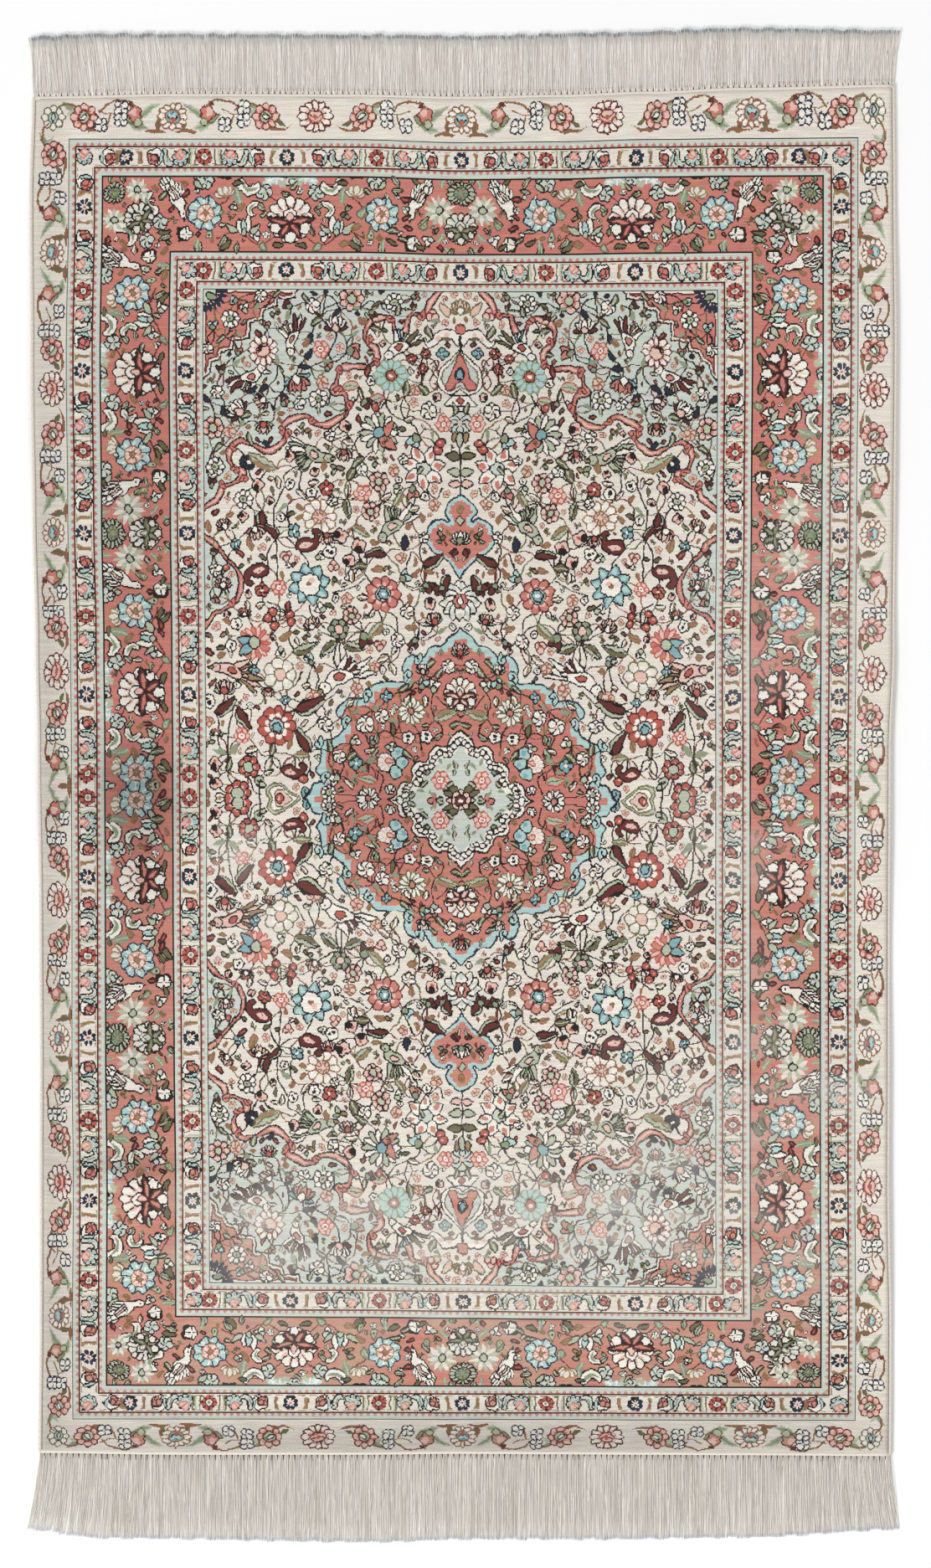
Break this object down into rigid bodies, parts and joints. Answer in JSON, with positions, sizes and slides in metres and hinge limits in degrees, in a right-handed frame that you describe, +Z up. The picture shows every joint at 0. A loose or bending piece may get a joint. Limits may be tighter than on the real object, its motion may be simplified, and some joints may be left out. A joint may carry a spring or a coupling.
{
  "type": "silk rug",
  "caption": "Rectangular hand-knotted silk rug lying flat, with an overcast cord along its long sides and a knotted warp fringe along its ends.",
  "frame": {"origin": "on the floor under the middle of the rug's bounding box, fringe included", "axes": "+X across the rug, +Y along its length towards the top of the design, +Z up out of the pile"},
  "size_m": [0.936, 1.6292, 0.0038],
  "materials": {
    "pile": "clipped silk pile with a soft directional sheen",
    "selvedge": "silk yarn wound closely over edge warps",
    "fringe": "undyed twisted warp yarn"
  },
  "bodies": {
    "root": {"cloth": "pile", "selvedge_left": "selvedge", "selvedge_right": "selvedge", "fringe_top": "fringe", "fringe_bottom": "fringe"}
  },
  "joints": []
}
